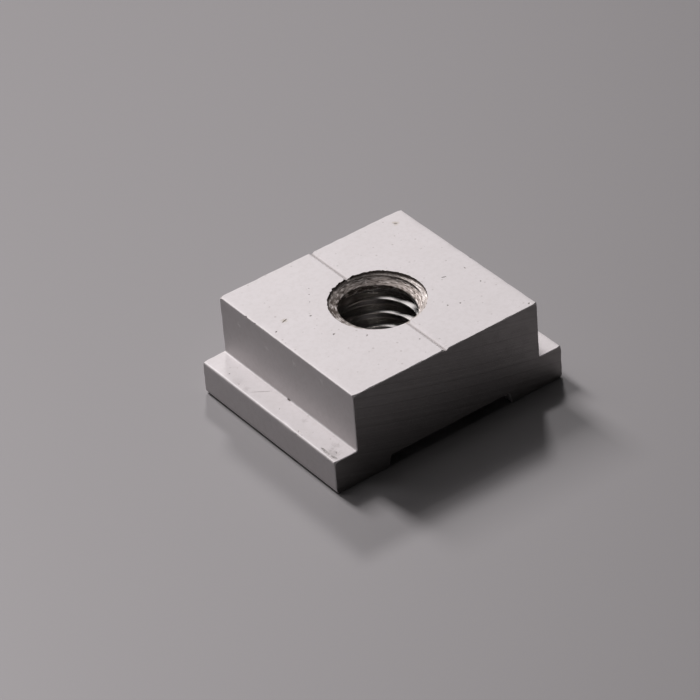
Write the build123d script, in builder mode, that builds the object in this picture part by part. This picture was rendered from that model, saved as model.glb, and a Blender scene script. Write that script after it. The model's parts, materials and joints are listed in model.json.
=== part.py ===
from build123d import *
import os

# A miter track nut: a short sawn length of aluminium T-section that slides in a saw table's miter
# slot, drilled and tapped through its middle for a clamping screw. It is one piece.
# It stands on its two feet at z = 0. X runs across the slot and Y along it, and the Z axis is the
# axis of the screw hole.

# The slot is 3/4 in. wide above its T-shaped floor, and the neck runs in it with a little play.
inch = 25.4
slot_width = 19.05
slot_play = 0.25

# Section of the extruded bar.
neck_height = 5.5
flange_reach = 2.3
flange_thickness = 3.2

# Length sawn off the bar.
nut_length = 18.2

# A shallow relief underneath leaves a foot along each side. Its walls flare out as they come down.
foot_width = 5.35
relief_depth = 1.1
relief_flare = 0.25

# A fine V-shaped line along the middle of the top shows where to drill.
line_width = 0.6
line_depth = 0.2

# Corners that the extrusion die rounds off.
neck_edge_radius = 0.1
neck_root_radius = 0.15
flange_edge_radius = 0.16
foot_edge_radius = 0.4
relief_edge_radius = 0.15
relief_root_radius = 0.2

# The hole takes a 5/16 in. screw with 18 threads an inch. Its wall is where the tap drill leaves
# the crests of the thread, a share of the pitch inside the screw's outer diameter.
screw_diameter = 7.94
threads_per_inch = 18
crest_share = 0.95

# A wider drill is run in first, far enough for its corners to leave a short straight wall above the
# cone of its point. Where the tap comes out underneath there is a light chamfer.
mouth_margin = 0.31
mouth_depth = 0.32
drill_point_angle = 135
exit_margin = 0.06
exit_angle = 90

# Sizes that follow from the ones above.
neck_width = slot_width - slot_play
flange_width = neck_width + 2 * flange_reach
nut_height = flange_thickness + neck_height
relief_mouth_width = flange_width - 2 * foot_width
relief_roof_width = relief_mouth_width - 2 * relief_flare
thread_pitch = inch / threads_per_inch
bore_diameter = screw_diameter - crest_share * thread_pitch
mouth_diameter = screw_diameter + mouth_margin
exit_diameter = screw_diameter + exit_margin

# Corners of the section down its right-hand side, from the drill line on top, out round the flange
# and in under the foot to the roof of the relief. The left-hand side is its mirror image.
right_corners = (
    (line_width / 2, nut_height),
    (neck_width / 2, nut_height),
    (neck_width / 2, flange_thickness),
    (flange_width / 2, flange_thickness),
    (flange_width / 2, 0),
    (relief_mouth_width / 2, 0),
    (relief_roof_width / 2, relief_depth),
)
right_radii = (
    0,
    neck_edge_radius,
    neck_root_radius,
    flange_edge_radius,
    foot_edge_radius,
    relief_edge_radius,
    relief_root_radius,
)
left_corners = [(-x, z) for x, z in reversed(right_corners)]

with BuildPart() as track_nut:
    # The extruded bar, sawn to length.
    with BuildSketch(Plane.XZ) as section:
        with BuildLine() as outline:
            FilletPolyline(
                (0, nut_height - line_depth),
                *right_corners,
                *left_corners,
                radius=(0, *right_radii, *reversed(right_radii)),
                close=True,
            )
        make_face()
    extrude(amount=nut_length / 2, both=True)

    # Tapped hole through the middle, with the wider drill's mouth above it.
    with Locations((0, 0, nut_height - mouth_depth)):
        CounterSinkHole(
            radius=bore_diameter / 2,
            counter_sink_radius=mouth_diameter / 2,
            counter_sink_angle=drill_point_angle,
        )

    # Chamfer where the hole comes out in the roof of the relief.
    with Locations(Plane(origin=(0, 0, relief_depth), z_dir=(0, 0, -1))):
        CounterSinkHole(
            radius=bore_diameter / 2,
            counter_sink_radius=exit_diameter / 2,
            counter_sink_angle=exit_angle,
        )

track_nut.part.label = "track_nut"

os.makedirs("parts", exist_ok=True)
export_step(track_nut.part, "parts/track_nut.step")
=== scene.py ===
import json
import math

import bmesh
import bpy
from mathutils import Matrix, Vector, noise


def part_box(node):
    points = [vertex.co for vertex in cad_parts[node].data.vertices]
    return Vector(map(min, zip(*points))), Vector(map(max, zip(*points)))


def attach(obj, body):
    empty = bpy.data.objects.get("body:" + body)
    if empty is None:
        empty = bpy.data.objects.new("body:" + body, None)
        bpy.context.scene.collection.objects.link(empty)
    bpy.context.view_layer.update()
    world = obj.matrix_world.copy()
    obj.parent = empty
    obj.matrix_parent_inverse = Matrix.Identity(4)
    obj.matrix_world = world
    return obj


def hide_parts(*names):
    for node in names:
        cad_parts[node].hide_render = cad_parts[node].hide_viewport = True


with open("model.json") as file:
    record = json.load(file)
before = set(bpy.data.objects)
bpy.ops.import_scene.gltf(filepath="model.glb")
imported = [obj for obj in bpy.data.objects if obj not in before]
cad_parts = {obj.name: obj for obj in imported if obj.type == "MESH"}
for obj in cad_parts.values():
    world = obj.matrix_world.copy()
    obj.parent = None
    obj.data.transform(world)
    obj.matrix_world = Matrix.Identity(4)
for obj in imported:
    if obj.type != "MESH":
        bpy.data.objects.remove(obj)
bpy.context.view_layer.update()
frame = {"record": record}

# The body is a short length of extruded aluminium T-section. It is etched and clear-anodised as a long
# bar, which gives it a pale satin skin with faint lines from the die, and the die rounds its corners.
mm = 0.001
nut_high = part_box("track_nut")[1]
mounts = {mount["name"]: mount for mount in frame["record"]["mounts"]}
flange_half = nut_high[0]
half_length = nut_high[1]
nut_height = nut_high[2]
flange_thickness = mounts["clamp_face_right"]["pos_m"][2]
neck_half = 9.4 * mm
foot_width = 5.35 * mm
relief_depth = 1.1 * mm
relief_flare = 0.25 * mm
line_half = 0.3 * mm
line_depth = 0.2 * mm
neck_edge_radius = 0.1 * mm
neck_root_radius = 0.15 * mm
flange_edge_radius = 0.16 * mm
foot_edge_radius = 0.4 * mm
relief_edge_radius = 0.15 * mm
relief_root_radius = 0.2 * mm
corner_steps = 6
section_step = 0.3 * mm

relief_half = flange_half - foot_width
half_section = (
    (line_half, nut_height, 0),
    (neck_half, nut_height, neck_edge_radius),
    (neck_half, flange_thickness, neck_root_radius),
    (flange_half, flange_thickness, flange_edge_radius),
    (flange_half, 0, foot_edge_radius),
    (relief_half, 0, relief_edge_radius),
    (relief_half - relief_flare, relief_depth, relief_root_radius),
)
other_half = [(-x, z, radius) for x, z, radius in reversed(half_section)]
section = [(0, nut_height - line_depth, 0), *half_section, *other_half]


def die_outline(corners):
    """The die's closed outline: its corners (x, z, radius) rounded, its straight runs in short steps."""
    rounded = []
    for before, here, after in zip(corners[-1:] + corners[:-1], corners, corners[1:] + corners[:1]):
        point = Vector(here[:2])
        radius = here[2]
        if radius == 0:
            rounded.append(point)
            continue
        back = (Vector(before[:2]) - point).normalized()
        ahead = (Vector(after[:2]) - point).normalized()
        half_angle = back.angle(ahead) / 2
        centre = point + (back + ahead).normalized() * radius / math.sin(half_angle)
        start = point + back * radius / math.tan(half_angle) - centre
        turn = start.angle_signed(point + ahead * radius / math.tan(half_angle) - centre)
        for step in range(corner_steps + 1):
            angle = -turn * step / corner_steps
            rounded.append(centre + Matrix.Rotation(angle, 2) @ start)
    stepped = []
    for here, after in zip(rounded, rounded[1:] + rounded[:1]):
        count = max(1, math.ceil((after - here).length / section_step))
        stepped += [here.lerp(after, share / count) for share in range(count)]
    return stepped


def into_metal(outline):
    """For each point of a clockwise outline, the mitre direction that points into the metal."""
    normals = []
    for here, after in zip(outline, outline[1:] + outline[:1]):
        run = (after - here).normalized()
        normals.append(Vector((run.y, -run.x)))
    return [(before + after) / (1 + before.dot(after))
            for before, after in zip(normals[-1:] + normals[:-1], normals)]


def solid(name, form, *finishes):
    """A mesh object from this form, with its finishes."""
    mesh = bpy.data.meshes.new(name)
    form.to_mesh(mesh)
    form.free()
    for finish in finishes:
        mesh.materials.append(finish)
    made = bpy.data.objects.new(name, mesh)
    bpy.context.scene.collection.objects.link(made)
    return made


def new_finish(name, **values):
    """A finish and its shader, with the values that are the same all over the surface."""
    finish = bpy.data.materials.new(name)
    finish.use_nodes = True
    shader = finish.node_tree.nodes["Principled BSDF"]
    for socket, value in values.items():
        shader.inputs[socket.replace("_", " ").title()].default_value = value
    return finish, shader


def connect(finish, shader, **links):
    """Links each value to the shader's socket of that name."""
    for socket, value in links.items():
        finish.node_tree.links.new(value, shader.inputs[socket.replace("_", " ").title()])


def node(finish, kind, sockets, **settings):
    """A node in this finish, with a value or a link for each of its sockets by name or number."""
    made = finish.node_tree.nodes.new("ShaderNode" + kind)
    for name, value in settings.items():
        setattr(made, name, value)
    for name, value in sockets.items():
        if isinstance(value, bpy.types.NodeSocket):
            finish.node_tree.links.new(value, made.inputs[name])
        else:
            made.inputs[name].default_value = value
    return made


def reckon(finish, operation, *values):
    """The result of one sum on these values or links."""
    return node(finish, "Math", dict(enumerate(values)), operation=operation).outputs["Value"]


def gap_to(finish, vector, place):
    """The distance of these coordinates from one place."""
    return node(finish, "VectorMath", {0: vector, 1: place}, operation="DISTANCE").outputs["Value"]


def millimetres(finish, stretch=(1, 1, 1)):
    """The object's own coordinates in millimetres, stretched along its axes."""
    place = node(finish, "TexCoord", {}).outputs["Object"]
    scale = [share / mm for share in stretch]
    return node(finish, "Mapping", {"Vector": place, "Scale": scale}).outputs["Vector"]


def grain(finish, vector, scale, detail=2.0, roughness=0.5):
    """A noise of this many grains to each unit of the coordinates, from 0 to 1."""
    sockets = {"Vector": vector, "Scale": scale, "Detail": detail, "Roughness": roughness}
    return node(finish, "TexNoise", sockets).outputs["Fac"]


def spread(finish, value, low, high, to_low, to_high):
    """The value's range from low to high, brought to another range and held within it."""
    sockets = {"Value": value, "From Min": low, "From Max": high, "To Min": to_low, "To Max": to_high}
    return node(finish, "MapRange", sockets).outputs["Result"]


def tint(finish, share, plain, marked):
    """The colour between plain and marked, by this share."""
    return node(finish, "Mix", {0: share, 6: plain, 7: marked}, data_type="RGBA").outputs[2]


def relief(finish, height, depth, under=None):
    """A bump of this height field, with its full depth in metres."""
    sockets = {"Height": height, "Distance": depth}
    if under is not None:
        sockets["Normal"] = under
    return node(finish, "Bump", sockets).outputs["Normal"]


# The skin is the etched and anodised surface of the bar. The etch leaves it faintly clouded and mottled,
# with small dark specks, and the colour is darker along the bottom of the drill line.
skin, skin_shader = new_finish("anodised_skin", metallic=0.15)
skin_pale = (0.78, 0.745, 0.75, 1)
skin_dull = (0.70, 0.665, 0.66, 1)
speck_brown = (0.40, 0.36, 0.34, 1)
line_foot_dark = (0.34, 0.31, 0.30, 1)
die_line_stretch = (1, 0.02, 1)
die_lines_per_mm = 7.0
die_line_depth = 0.002 * mm
etch_per_mm = 5.5
etch_depth = 0.006 * mm
clouds_per_mm = 0.35
mottles_per_mm = 2.2
specks_per_mm = 2.1
largest_speck = 0.27
line_foot_dark_core = 0.02
line_foot_dark_half = 0.13
line_foot = (nut_height - line_depth) / mm
line_foot_dark_low = line_foot - 0.2
line_foot_dark_high = line_foot - 0.1

skin_mm = millimetres(skin)
die_lines = grain(skin, millimetres(skin, die_line_stretch), die_lines_per_mm)
etch = grain(skin, skin_mm, etch_per_mm, 3.0)
cloud = grain(skin, skin_mm, clouds_per_mm, 3.0)
clouded = tint(skin, spread(skin, cloud, 0.35, 0.75, 0.0, 0.35), skin_pale, skin_dull)
mottle = grain(skin, skin_mm, mottles_per_mm, 4.0, 0.65)
mottled = tint(skin, spread(skin, mottle, 0.45, 0.75, 0.0, 0.7), clouded, skin_dull)

speck_sockets = {"Vector": skin_mm, "Scale": specks_per_mm, "Randomness": 1.0}
speck_cells = node(skin, "TexVoronoi", speck_sockets).outputs
speck_size = node(skin, "SeparateColor", {"Color": speck_cells["Color"]}).outputs["Red"]
speck_reach = spread(skin, speck_size, 0.55, 1.0, 0.0, largest_speck)
speck_gap = reckon(skin, "SUBTRACT", speck_cells["Distance"], speck_reach)
specked = tint(skin, spread(skin, speck_gap, -0.1, 0.0, 0.42, 0.0), mottled, speck_brown)

skin_place = node(skin, "SeparateXYZ", {"Vector": skin_mm}).outputs
off_middle = reckon(skin, "ABSOLUTE", skin_place["X"])
# The colour is darker in a narrow band along the bottom of the drill line.
in_line = spread(skin, off_middle, line_foot_dark_core, line_foot_dark_half, 0.75, 0.0)
on_top = spread(skin, skin_place["Z"], line_foot_dark_low, line_foot_dark_high, 0.0, 1.0)
lined = tint(skin, reckon(skin, "MULTIPLY", in_line, on_top), specked, line_foot_dark)

# Use has left soft marks on the skin: rust on the top, grime on the left flange and pale scuffs on the
# left side of the neck. Each has its place across, along and up and its reach, in millimetres, and then
# its strength and its colour.
rust_brown = (0.44, 0.37, 0.25, 1)
grime_grey = (0.36, 0.33, 0.32, 1)
scuff_pale = (0.92, 0.89, 0.89, 1)
top = nut_height / mm
flange_top = flange_thickness / mm
neck_side = -neck_half / mm
smudges = (
    ((-7.4, 2.8, top), 0.5, 0.55, rust_brown),
    ((7.8, 7.7, top), 0.55, 0.5, rust_brown),
    ((-10.2, -3.0, flange_top), 0.6, 0.35, grime_grey),
    ((-10.2, -7.3, flange_top), 0.7, 0.45, grime_grey),
    ((-11.1, -7.9, flange_top), 1.1, 0.5, grime_grey),
    ((-11.2, 3.6, flange_top), 0.6, 0.3, grime_grey),
    ((-11.1, 4.9, flange_top), 0.9, 0.22, grime_grey),
    ((neck_side, 6.55, 7.24), 0.42, 1.0, scuff_pale),
    ((neck_side, 2.77, 7.0), 0.42, 1.0, scuff_pale),
    ((neck_side, -4.83, 7.84), 0.42, 1.0, scuff_pale),
    ((neck_side, -1.1, 7.5), 0.42, 1.0, scuff_pale),
)
smudge_core_share = 0.3
smudge_ragged_share = 0.6


def smudge(under, place, reach, strength, colour):
    """The skin's colour with one soft uneven mark."""
    ragged = spread(skin, etch, 0.3, 0.7, 0.0, smudge_ragged_share * reach)
    edge = reckon(skin, "ADD", gap_to(skin, skin_mm, place), ragged)
    return tint(skin, spread(skin, edge, smudge_core_share * reach, reach, strength, 0.0), under, colour)


marked = lined
for mark in smudges:
    marked = smudge(marked, *mark)
connect(
    skin, skin_shader,
    base_color=marked,
    roughness=spread(skin, etch, 0.3, 0.7, 0.5, 0.6),
    normal=relief(skin, etch, etch_depth, relief(skin, die_lines, die_line_depth)),
)

# The bar is sawn to length, so both ends are bare metal with the curved marks of the blade, and the
# saw and a light deburr leave their edges with a thin, uneven break. The ends' colour is kept much darker
# than bare aluminium: painted shade, standing in for the shade on the near end.
end_break = 0.05 * mm
end_break_spread = 0.05 * mm
thinnest_break_share = -0.8
break_grain = 0.7 * mm
corner_break = 0.12 * mm
edge_wear = 0.05 * mm
wear_reach = 0.3 * mm
wear_grain = 0.9 * mm
wear_step = 0.35 * mm
blade_centre = (35, 0, 130)
kerfs_per_mm = 3.0
kerf_depth = 0.035 * mm
smears_per_mm = 1.6
smear_depth = 0.002 * mm

sawn, sawn_shader = new_finish("sawn_end", metallic=1.0)
# Painted shade: both kerf colours are far darker than bare aluminium.
kerf_shaded_dark = (0.31, 0.295, 0.29, 1)
kerf_shaded_pale = (0.40, 0.382, 0.377, 1)
sawn_mm = millimetres(sawn)
blade_path = node(sawn, "CombineXYZ", {"X": gap_to(sawn, sawn_mm, blade_centre)}).outputs["Vector"]
kerf = grain(sawn, blade_path, kerfs_per_mm, 5.0, 0.75)
smear = grain(sawn, sawn_mm, smears_per_mm, 3.0)
connect(
    sawn, sawn_shader,
    base_color=tint(sawn, spread(sawn, kerf, 0.35, 0.65, 0.0, 1.0), kerf_shaded_dark, kerf_shaded_pale),
    roughness=spread(sawn, smear, 0.3, 0.7, 0.36, 0.48),
    normal=relief(sawn, kerf, kerf_depth, relief(sawn, smear, smear_depth)),
)


def sawn_bar(name):
    """The bar between its two sawn ends, each with its uneven break, its long edges worn here and there."""
    outline = die_outline(section)
    inward = into_metal(outline)
    worn_corners = [Vector((side * x, z)) for side in (-1, 1)
                    for x, z in ((neck_half, nut_height), (flange_half, flange_thickness))]
    exposed = [max(0, 1 - min((point - corner).length for corner in worn_corners) / wear_reach)
               for point in outline]
    form = bmesh.new()
    ends = []
    for side in (-1, 1):
        end = []
        shoulder = []
        for point, mitre, share in zip(outline, inward, exposed):
            rough = noise.noise(Vector((point.x, side * half_length, point.y)) / break_grain)
            width = end_break + end_break_spread * max(thinnest_break_share, rough) + corner_break * share
            pulled = point + mitre * width
            end.append(form.verts.new((pulled.x, side * half_length, pulled.y)))
            shoulder.append(form.verts.new((point.x, side * (half_length - width), point.y)))
        ends.append((end, shoulder))
    between = []
    inner_half = half_length - 2 * wear_step
    count = math.ceil(2 * inner_half / wear_step)
    for step in range(count + 1):
        along = -inner_half + 2 * inner_half * step / count
        ring = []
        for point, mitre, share in zip(outline, inward, exposed):
            rough = noise.noise(Vector((point.x, along, point.y)) / wear_grain)
            worn = point + mitre * edge_wear * share * max(0, rough)
            ring.append(form.verts.new((worn.x, along, worn.y)))
        between.append(ring)
    rings = [*ends[0], *between, *reversed(ends[1])]
    for near, far in zip(rings, rings[1:]):
        for here in range(len(outline)):
            after = (here + 1) % len(outline)
            form.faces.new((near[here], near[after], far[after], far[here]))
    sawn_faces = [form.faces.new(end) for end in (rings[0], rings[-1])]
    for face in sawn_faces:
        face.material_index = 1
    bmesh.ops.recalc_face_normals(form, faces=form.faces)
    bmesh.ops.triangulate(form, faces=sawn_faces, quad_method="BEAUTY", ngon_method="BEAUTY")
    return solid(name, form, skin, sawn)


nut = sawn_bar("track_nut_body")

# The mouth of the hole is left by a wider drill: a short straight wall, and below it the flat cone of
# the drill's point, torn and ringed where the lips dragged through the soft metal. The upper part of the
# wall is painted darker as painted shade.
mouth_radius = 4.125 * mm
mouth_depth = 0.32 * mm
drill_point_angle = 135
drill_slope = math.tan(math.radians((180 - drill_point_angle) / 2))
overrun = 0.5 * mm
mouth_turn_steps = 240
rings_on_wall = 3
rings_on_cone = 28
cone_foot = 2.9 * mm
rim_tear = 0.16 * mm
rim_tear_rate = 19
rim_tear_step = 0.5
least_tear_share = 0.3
ring_tear = 0.02 * mm
ring_tear_rate = 2.2
ring_tear_step = 1.7
deep_ring_radius = 3.68 * mm
deep_ring_half = 0.13 * mm
deep_ring_depth = 0.025 * mm
drill_lean = math.radians(1.2)
drill_lean_way = (0.5, 0.866, 0)
drill_lift = 0.08 * mm
drag_depth = 0.03 * mm

drilled, drilled_shader = new_finish("drilled_mouth", metallic=0.3)
drilled_pale = (0.62, 0.565, 0.53, 1)
drilled_dark = (0.10, 0.075, 0.06, 1)
# Pale colour of burnished patches, also used as painted light on the root of the thread's first turn.
burnish_and_light_pale = (0.95, 0.90, 0.87, 1)
chips_place = (-3.4, 1.3, top - 0.5)
chips_near = 1.2
chips_far = 3.6
# Painted shade: over this height the colour darkens towards the rim, standing in for the wall's shade.
rim_shade_foot = top - 0.28
rim_shade_top = top - 0.2


def from_axis(finish):
    """Millimetres from the hole's axis."""
    out = millimetres(finish, (1, 1, 0))
    return node(finish, "VectorMath", {0: out}, operation="LENGTH").outputs["Value"]


def up_axis(finish):
    """Millimetres up the hole's axis from the floor."""
    return node(finish, "SeparateXYZ", {"Vector": millimetres(finish)}).outputs["Z"]


def hole_grain(finish, round_rate, out_rate, roughness=0.6):
    """A noise drawn out round the hole, with so many grains to a radian and to a millimetre out or up."""
    place = node(finish, "SeparateXYZ", {"Vector": millimetres(finish)}).outputs
    turn = reckon(finish, "ARCTAN2", place["Y"], place["X"])
    height = reckon(finish, "ADD", from_axis(finish), place["Z"])
    sockets = {"X": reckon(finish, "COSINE", turn), "Y": reckon(finish, "SINE", turn), "Z": height}
    joined = node(finish, "CombineXYZ", sockets).outputs["Vector"]
    rates = (round_rate, round_rate, out_rate)
    scaled = node(finish, "Mapping", {"Vector": joined, "Scale": rates}).outputs["Vector"]
    return grain(finish, scaled, 1.0, 3.0, roughness)


def torn_metal(finish, plain):
    """The colour of torn metal round the hole: burnished in patches, and dark where the chips dragged."""
    patches = hole_grain(finish, 6.0, 4.0)
    burnished = tint(finish, spread(finish, patches, 0.4, 0.48, 0.9, 0.0), plain, burnish_and_light_pale)
    from_chips = gap_to(finish, millimetres(finish), chips_place)
    chips_here = spread(finish, from_chips, chips_near, chips_far, 0.95, 0.1)
    patchy = spread(finish, patches, 0.46, 0.56, 0.0, 1.0)
    return tint(finish, reckon(finish, "MULTIPLY", chips_here, patchy), burnished, drilled_dark)


drag = hole_grain(drilled, 4.0, 13.0)
torn = hole_grain(drilled, 13.0, 6.0)
dragged = spread(drilled, drag, 0.5, 0.68, 0.0, 0.75)
torn_dark = reckon(drilled, "MAXIMUM", dragged, spread(drilled, torn, 0.54, 0.7, 0.0, 0.9))
# Painted shade on the mouth's wall, darker towards the rim.
rim_painted_shade = spread(drilled, up_axis(drilled), rim_shade_foot, rim_shade_top, 0.0, 0.7)
darkened = reckon(drilled, "MAXIMUM", torn_dark, rim_painted_shade)
connect(
    drilled, drilled_shader,
    base_color=tint(drilled, darkened, torn_metal(drilled, drilled_pale), drilled_dark),
    roughness=spread(drilled, drag, 0.3, 0.7, 0.5, 0.72),
    normal=relief(drilled, drag, drag_depth),
)


def drill_point(name):
    """The space that the drill leaves: its straight wall, then its cone to a point on the axis."""
    form = bmesh.new()
    wall_foot = nut_height - mouth_depth
    profile = [(mouth_radius, height) for height in (nut_height + overrun, nut_height, wall_foot)]
    for step in range(1, rings_on_cone + 1):
        radius = mouth_radius + (cone_foot - mouth_radius) * step / rings_on_cone
        deeper = deep_ring_depth * max(0, 1 - abs(radius - deep_ring_radius) / deep_ring_half)
        profile.append((radius, wall_foot - (mouth_radius - radius) * drill_slope - deeper))
    rows = []
    for turn in range(mouth_turn_steps):
        angle = math.tau * turn / mouth_turn_steps
        way = Vector((math.cos(angle), math.sin(angle), 0))
        tear_share = max(least_tear_share, way.y)
        row = []
        for ring, (radius, height) in enumerate(profile):
            if ring < rings_on_wall:
                tear = noise.noise(way * rim_tear_rate + Vector((0, 0, rim_tear_step * ring)))
                radius += rim_tear * tear_share * tear
            else:
                tear = noise.noise(way * ring_tear_rate + Vector((0, 0, ring_tear_step * ring)))
                height += ring_tear * tear
            row.append(form.verts.new(way * radius + Vector((0, 0, height))))
        rows.append(row)
    tip = form.verts.new((0, 0, wall_foot - mouth_radius * drill_slope))
    lid = form.verts.new((0, 0, nut_height + overrun))
    square = Vector((0, 0, nut_height))
    lift = Vector((0, 0, drill_lift))
    out_of_square = Matrix.Rotation(drill_lean, 3, Vector(drill_lean_way))
    for point in form.verts:
        point.co = square + lift + out_of_square @ (point.co - square)
    for here, after in zip(rows, rows[1:] + rows[:1]):
        form.faces.new((lid, here[0], after[0]))
        form.faces.new((tip, after[-1], here[-1]))
        for ring in range(len(profile) - 1):
            form.faces.new((here[ring], here[ring + 1], after[ring + 1], after[ring]))
    bmesh.ops.recalc_face_normals(form, faces=form.faces)
    return solid(name, form, drilled)


# The thread is cut by a tap after the bar is anodised, so its turns are bare bright metal: 18 to the
# inch, right-handed, with flat crests where the tap drill's wall is left. Its first turn is torn, and there
# its colour also carries painted shade and painted light: the crests are painted near-black as shade, and
# the root is painted pale as light.
inch = 25.4 * mm
threads_per_inch = 18
thread_pitch = inch / threads_per_inch
crest_radius = mounts["screw_thread"]["dims"]["r_mm"] * mm
root_radius = 3.97 * mm
crest_half = 0.2 * mm
root_half = 0.088 * mm
crest_round = 0.05 * mm
thread_turn_steps = 96
thread_turns = 8
thread_start = -0.5 * mm
thread_phase = math.radians(145)
first_turn_foot = top - 1.55
first_turn_top = top - 1.15
crest_blend_start = crest_radius / mm - 0.03
crest_blend_end = crest_radius / mm + 0.06
root_light_start = root_radius / mm - 0.17
root_light_end = root_radius / mm - 0.05
chatter_depth = 0.0015 * mm

tapped, tapped_shader = new_finish("tapped_thread", metallic=1.0)
thread_bright = (0.54, 0.525, 0.51, 1)
crest_shade_dark = (0.13, 0.12, 0.11, 1)
torn_roughness = 0.75
chatter = hole_grain(tapped, 2.0, 14.0, 0.5)
scuff = hole_grain(tapped, 8.0, 9.0)
first_turn = spread(tapped, up_axis(tapped), first_turn_foot, first_turn_top, 0.0, 1.0)
# Painted shade: on the first turn the crests take a near-black colour.
off_crest = spread(tapped, from_axis(tapped), crest_blend_start, crest_blend_end, 0.0, 1.0)
# Painted light: on the first turn the root takes a pale colour.
root_painted_light = spread(tapped, from_axis(tapped), root_light_start, root_light_end, 0.0, 0.8)
lip = tint(tapped, off_crest, crest_shade_dark, drilled_pale)
lip_root_lit = torn_metal(tapped, tint(tapped, root_painted_light, lip, burnish_and_light_pale))
torn_lip_with_painted_light = tint(tapped, spread(tapped, scuff, 0.48, 0.62, 0.0, 0.9), lip_root_lit, drilled_dark)
gloss = spread(tapped, chatter, 0.3, 0.7, 0.2, 0.25)
connect(
    tapped, tapped_shader,
    base_color=tint(tapped, first_turn, thread_bright, torn_lip_with_painted_light),
    roughness=spread(tapped, first_turn, 0.0, 1.0, gloss, torn_roughness),
    normal=relief(tapped, chatter, chatter_depth),
)


def tap(name):
    """The space that the tap clears: a rod with the turns of the thread standing out from it."""
    form = bmesh.new()
    flank = thread_pitch / 2 - crest_half - root_half
    slope = (root_radius - crest_radius) / flank
    profile = [
        (0, crest_radius),
        (crest_half - crest_round, crest_radius),
        (crest_half + crest_round / 2, crest_radius + slope * crest_round / 2),
        (crest_half + flank - crest_round / 4, root_radius - slope * crest_round / 4),
        (crest_half + flank + crest_round / 2, root_radius),
        (thread_pitch - crest_half - flank - crest_round / 2, root_radius),
        (thread_pitch - crest_half - flank + crest_round / 4, root_radius - slope * crest_round / 4),
        (thread_pitch - crest_half - crest_round / 2, crest_radius + slope * crest_round / 2),
        (thread_pitch - crest_half + crest_round, crest_radius),
    ]
    rows = []
    for step in range(thread_turn_steps * (thread_turns + 1) + 1):
        angle = math.tau * step / thread_turn_steps
        way = Vector((math.cos(angle + thread_phase), math.sin(angle + thread_phase), 0))
        climb = thread_start + thread_pitch * step / thread_turn_steps
        last = step > thread_turn_steps * thread_turns
        points = profile[:1] if last else profile
        places = [way * radius + Vector((0, 0, climb + rise)) for rise, radius in points]
        rows.append([form.verts.new(place) for place in places])
    body = rows[:thread_turn_steps * thread_turns + 1]
    tops = [rows[step + thread_turn_steps][0] for step in range(len(body))]
    full = [row + [upper] for row, upper in zip(body, tops)]
    for here, after in zip(full, full[1:]):
        for ring in range(len(profile)):
            form.faces.new((here[ring], after[ring], after[ring + 1], here[ring + 1]))
    low = form.verts.new((0, 0, thread_start - overrun))
    high = form.verts.new((0, 0, thread_start + thread_pitch * (thread_turns + 1) + overrun))
    foot = [row[0] for row in full[:thread_turn_steps + 1]] + full[0][-2:0:-1]
    head = [row[-1] for row in full[-thread_turn_steps - 1:]] + full[-1][-2:0:-1]
    for centre, edge in ((low, foot), (high, head)):
        for here, after in zip(edge, edge[1:] + edge[:1]):
            form.faces.new((centre, here, after))
    bmesh.ops.recalc_face_normals(form, faces=form.faces)
    return solid(name, form, tapped)


# Underneath, where the tap comes out into the relief, a light chamfer takes off the burr. It is cut
# with a 90 degree countersink and has the same bare finish as the mouth.
exit_radius = 4.0 * mm
exit_turn_steps = 96


def chamfer_tool(name):
    """The space of the chamfer: a cone that opens downwards at 90 degrees."""
    form = bmesh.new()
    reach = exit_radius + overrun
    bmesh.ops.create_cone(
        form, cap_ends=True, segments=exit_turn_steps, radius1=reach, radius2=0.0, depth=reach,
        matrix=Matrix.Translation((0, 0, relief_depth - overrun + reach / 2)),
    )
    return solid(name, form, drilled)


# Handling and the saw bench have left pits, nicks and a scratch in the skin, a few of them stained. A
# mark in a face has its place across and along, its length and width in millimetres, and its turn in
# degrees. A nick in an edge has its place across, along and up, and its size.
rust_on_top = (
    (-7.35, 2.8, 0.6, 0.1, 18),
    (7.8, 7.7, 0.34, 0.09, -43),
    (6.0, -1.15, 0.46, 0.1, -26),
)
stains_on_top = (
    (-5.5, -1.4, 0.25, 0.17, 18),
    (-5.4, 1.9, 0.2, 0.15, 0),
    (4.75, -4.93, 0.18, 0.15, 20),
    (3.8, -4.5, 0.16, 0.13, 0),
    (7.9, -3.65, 0.17, 0.13, 40),
    (8.86, -8.74, 0.22, 0.18, 40),
    (-3.2, 5.1, 0.1, 0.09, 0),
    (-3.7, 4.4, 0.12, 0.1, 0),
    (-4.3, 3.5, 0.11, 0.09, 0),
    (-0.75, -6.6, 0.15, 0.13, 0),
    (8.1, -1.3, 0.26, 0.1, 85),
    (-3.6, -3.35, 0.3, 0.1, 35),
    (-8.8, 2.0, 0.24, 0.14, 30),
)
gouges_on_flange = (
    (-11.3, -7.3, 1.1, 0.25, 88),
    (-11.24, -8.5, 0.75, 0.22, 97),
    (-10.75, -8.1, 0.26, 0.13, 70),
)
scrapes_on_flange = (
    (-10.5, 2.5, 1.95, 0.055, -37),
    (-11.25, 4.55, 0.2, 0.13, 60),
    (-11.35, -3.97, 0.5, 0.12, 85),
    (-10.75, -0.4, 0.16, 0.12, 0),
    (-11.0, 6.25, 0.16, 0.13, 0),
)
nicks_in_edges = (
    (-9.48, 0.07, flange_top + 0.04, 0.5),
    (-9.37, 9.06, top - 0.03, 0.5),
    (-9.38, 5.4, top - 0.03, 0.34),
    (-9.38, 4.16, top - 0.03, 0.3),
    (-9.38, 3.0, top - 0.02, 0.22),
    (9.36, -0.45, top - 0.02, 0.3),
    (-0.35, -9.1, top - 0.03, 0.34),
    (-2.4, -9.1, top - 0.02, 0.24),
    (-11.68, -3.9, flange_top - 0.08, 0.26),
)
upwards = (0, 0, 1)
pit_depth = 0.035 * mm
nick_way = (1, 0, 1)
nick_turn = 25
nick_width_share = 0.6
nick_depth_share = 0.16
bowl_subdivisions = 2
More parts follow.
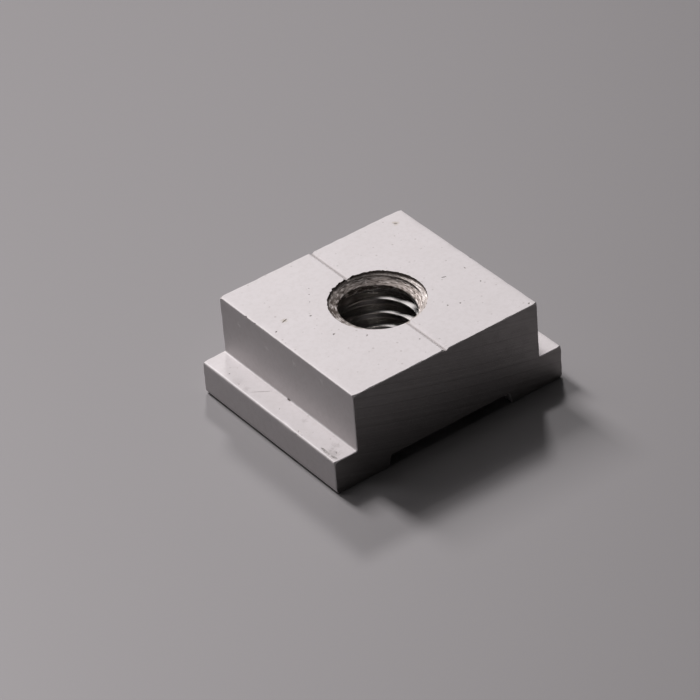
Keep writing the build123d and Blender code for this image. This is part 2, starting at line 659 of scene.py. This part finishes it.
bowl_raggedness = 0.35
bowl_grain = 1.6
bowl_shift = 3
bruise_depth = 0.01 * mm
stain_dark = (0.26, 0.235, 0.22, 1)
stain_pale = (0.52, 0.485, 0.46, 1)
rust_dark = (0.05, 0.042, 0.025, 1)
rust_pale = (0.22, 0.18, 0.115, 1)
gouge_dark = (0.27, 0.255, 0.247, 1)
gouge_pale = (0.56, 0.535, 0.525, 1)
bruise_dark = (0.46, 0.42, 0.41, 1)
bruise_pale = (0.68, 0.64, 0.63, 1)

stained, stained_shader = new_finish("stained_pit", metallic=0.3)
stain_mottle = grain(stained, millimetres(stained), 9.0)
connect(
    stained, stained_shader,
    base_color=tint(stained, stain_mottle, stain_dark, stain_pale),
    roughness=spread(stained, stain_mottle, 0.3, 0.7, 0.5, 0.8),
)
rusted, rusted_shader = new_finish("rusted_pit", metallic=0.0)
rust_mottle = grain(rusted, millimetres(rusted), 9.0)
connect(
    rusted, rusted_shader,
    base_color=tint(rusted, rust_mottle, rust_dark, rust_pale),
    roughness=spread(rusted, rust_mottle, 0.3, 0.7, 0.6, 0.85),
)
grimed, grimed_shader = new_finish("grimed_gouge", metallic=0.2)
grime_mottle = grain(grimed, millimetres(grimed), 7.0, 3.0)
connect(
    grimed, grimed_shader,
    base_color=tint(grimed, spread(grimed, grime_mottle, 0.35, 0.65, 0.0, 1.0), gouge_dark, gouge_pale),
    roughness=spread(grimed, grime_mottle, 0.3, 0.7, 0.5, 0.8),
)
bruised, bruised_shader = new_finish("bruised_metal", metallic=0.5)
bruise = grain(bruised, millimetres(bruised), 7.0, 3.0)
connect(
    bruised, bruised_shader,
    base_color=tint(bruised, spread(bruised, bruise, 0.35, 0.65, 0.0, 1.0), bruise_dark, bruise_pale),
    roughness=spread(bruised, bruise, 0.3, 0.7, 0.35, 0.55),
    normal=relief(bruised, bruise, bruise_depth),
)


def dent(form, place, normal, turn, length, width, depth):
    """Adds one ragged shallow bowl to a tool, half sunk at this place and turned in its face."""
    facing = Vector(normal).to_track_quat("Z", "Y").to_matrix().to_4x4()
    lie = Matrix.Translation(Vector(place) * mm) @ facing @ Matrix.Rotation(math.radians(turn), 4, "Z")
    bowl = Matrix.Diagonal((length * mm / 2, width * mm / 2, depth, 1))
    points = bmesh.ops.create_icosphere(form, subdivisions=bowl_subdivisions, radius=1.0)["verts"]
    for point in points:
        ragged = 1 + bowl_raggedness * noise.noise(point.co * bowl_grain + Vector(place) * bowl_shift)
        point.co = lie @ bowl @ (point.co * ragged)


def pits(marks, height):
    """The form of a tool for these marks in a level face at this height in millimetres."""
    form = bmesh.new()
    for across, along, length, width, turn in marks:
        dent(form, (across, along, height), upwards, turn, length, width, pit_depth)
    return form


bruise_form = pits(scrapes_on_flange, flange_top)
for across, along, up, size in nicks_in_edges:
    nick_width = nick_width_share * size
    nick_depth = nick_depth_share * size * mm
    dent(bruise_form, (across, along, up), nick_way, nick_turn, size, nick_width, nick_depth)
mark_tools = [
    solid("rust_tool", pits(rust_on_top, top), rusted),
    solid("stain_tool", pits(stains_on_top, top), stained),
    solid("gouge_tool", pits(gouges_on_flange, flange_top), grimed),
    solid("bruise_tool", bruise_form, bruised),
]

# The tools cut the bar one after another, each leaving its own finish on the faces that it makes. What
# is left is the nut in one piece, smooth on its round faces and sharp at the edges of its sawn ends.
sharp_angle = math.radians(28)

cutters = [*mark_tools, drill_point("drill_point"), tap("tap"), chamfer_tool("chamfer_tool")]
for cutter in cutters:
    cut = nut.modifiers.new(cutter.name, "BOOLEAN")
    cut.object = cutter
    cut.operation = "DIFFERENCE"
    cut.solver = "EXACT"
    cut.material_mode = "TRANSFER"
shape = bpy.data.meshes.new_from_object(nut.evaluated_get(bpy.context.evaluated_depsgraph_get()))
nut.modifiers.clear()
nut.data = shape
for cutter in cutters:
    bpy.data.objects.remove(cutter)
shape.shade_smooth()
shape.set_sharp_from_angle(angle=sharp_angle)
for face in shape.polygons:
    if shape.materials[face.material_index] == sawn:
        for corner in face.loop_indices:
            shape.edges[shape.loops[corner].edge_index].use_edge_sharp = True
even = nut.modifiers.new("even_shading", "WEIGHTED_NORMAL")
even.keep_sharp = True
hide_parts("track_nut")
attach(nut, "root")

# The nut stands on a plain pale floor with a satin paint. It runs well past the view on every side, and
# it is no part of the nut.
floor_reach = 1.5
floor_grey = (0.30, 0.29, 0.295, 1)

floor_paint = new_finish("pale_floor", base_color=floor_grey, roughness=0.5, metallic=0.2)[0]
floor_form = bmesh.new()
bmesh.ops.create_grid(floor_form, x_segments=1, y_segments=1, size=floor_reach)
floor = solid("floor", floor_form, floor_paint)

# A strip light stands behind the nut with a softer one above it, a small key light stands across from
# the camera, and weak soft lights hang to the side and overhead. The room is all but dark.
light_distance = 0.6
studio_white = (1.0, 0.965, 0.975)
room_dark = (0.008, 0.008, 0.008, 1)


def soft_light(name, way, width, length, power):
    """A soft light in this direction from the nut, turned to face it."""
    light = bpy.data.objects.new(name, bpy.data.lights.new(name, "AREA"))
    bpy.context.scene.collection.objects.link(light)
    light.data.shape = "RECTANGLE"
    light.data.size = width
    light.data.size_y = length
    light.data.energy = power
    light.data.color = studio_white
    light.location = Vector(way).normalized() * light_distance
    light.rotation_euler = light.location.to_track_quat("Z", "Y").to_euler()


soft_light("strip_light", (-0.04, 0.70, 0.71), 0.1, 0.24, 2.5)
soft_light("back_light", (-0.06, 0.55, 0.83), 0.12, 0.12, 0.25)
soft_light("key_light", (0.42, 0.60, 0.68), 0.07, 0.07, 0.42)
soft_light("side_light", (-0.28, 0.37, 0.88), 0.14, 0.38, 0.34)
soft_light("overhead_light", (-0.16, 0.05, 0.98), 0.2, 0.2, 0.22)
world = bpy.data.worlds.new("studio")
world.use_nodes = True
world.node_tree.nodes["Background"].inputs["Color"].default_value = room_dark
bpy.context.scene.world = world
bpy.context.scene.view_settings.view_transform = "Standard"

# The camera looks down on the near left corner, as in the photograph, from about a third of a metre
# away through a long lens. It leans a little about its line of sight, and stands a little to the side
# and higher, which frames the nut.
camera_turn = math.radians(-34.27)
camera_height = math.radians(36.34)
camera_tilt = math.radians(-4.708)
camera_distance = 321.35 * mm
camera_right = -2.81 * mm
camera_up = 2.88 * mm
camera_lens = 199.05
camera_sensor = 36

camera = bpy.data.objects.new("camera", bpy.data.cameras.new("camera"))
bpy.context.scene.collection.objects.link(camera)
camera.data.lens = camera_lens
camera.data.sensor_width = camera_sensor
back = Vector((math.sin(camera_turn) * math.cos(camera_height),
               -math.cos(camera_turn) * math.cos(camera_height),
               math.sin(camera_height)))
level = Vector((0, 0, 1)).cross(back).normalized()
tilt = Matrix.Rotation(camera_tilt, 3, back)
right = tilt @ level
up = tilt @ back.cross(level)
camera.matrix_world = Matrix((right, up, back)).transposed().to_4x4()
camera.location = back * camera_distance + right * camera_right + up * camera_up
bpy.context.scene.camera = camera
